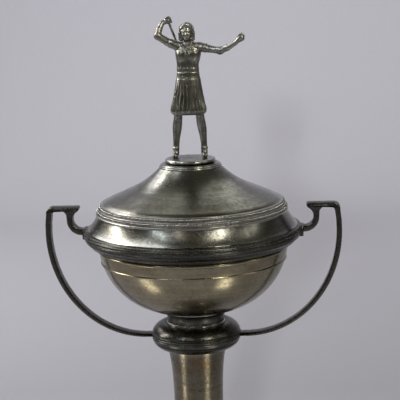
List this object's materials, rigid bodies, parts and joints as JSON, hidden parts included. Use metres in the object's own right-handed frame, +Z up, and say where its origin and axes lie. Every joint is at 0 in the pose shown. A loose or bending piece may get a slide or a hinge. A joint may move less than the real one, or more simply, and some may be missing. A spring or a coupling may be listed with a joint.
{
  "type": "lidded cup trophy",
  "caption": "Lidded two-handled cup trophy on a column, domed foot and wooden plinth, with a cast player figure on the lid.",
  "frame": {"origin": "centre of the felt's underside, on the surface that the trophy stands on", "axes": "+Z up along the cup's axis, +X and -X through the two handles, -Y the way the figure faces"},
  "size_m": [0.212, 0.1552, 0.4247],
  "materials": {
    "spun_silver": "spun silver plate, polished once, now lightly tarnished",
    "dark_silver": "turned and milled silver plate, oxidised in the grooves",
    "cast_silver": "cast and plated metal, nearly black with tarnish, bright on the edges",
    "steel_hardware": "plain zinc-plated steel",
    "ebonised_wood": "ebonised and waxed wood",
    "felt": "green wool felt"
  },
  "bodies": {
    "cup": {"felt_pad": "felt", "plinth": "ebonised_wood", "base_washer": "steel_hardware", "lock_washer": "steel_hardware", "base_nut": "steel_hardware", "foot": "spun_silver", "foot_collar": "dark_silver", "column": "spun_silver", "column_foot_disc": "steel_hardware", "column_top_disc": "steel_hardware", "knop_lower": "dark_silver", "knop_upper": "dark_silver", "bowl_neck": "dark_silver", "bowl": "spun_silver", "bead_lower": "spun_silver", "bead_upper": "spun_silver", "rim_band": "dark_silver", "bowl_washer": "steel_hardware", "bowl_nut": "steel_hardware", "tie_rod": "steel_hardware", "handle_left": "cast_silver", "handle_right": "cast_silver", "lug_left": "cast_silver", "lug_right": "cast_silver"},
    "lid": {"lid_shell": "spun_silver", "lid_bezel": "dark_silver", "lid_band": "dark_silver", "finial_ring": "dark_silver", "platform": "dark_silver", "figure": "cast_silver", "racket": "cast_silver", "figure_stud": "steel_hardware", "figure_washer": "steel_hardware", "figure_nut": "steel_hardware"}
  },
  "joints": [
    {"name": "lid_lift", "type": "slide", "parent": "cup", "child": "lid", "axis": [0, 0, 1], "range_m": [0, 0.08]}
  ]
}
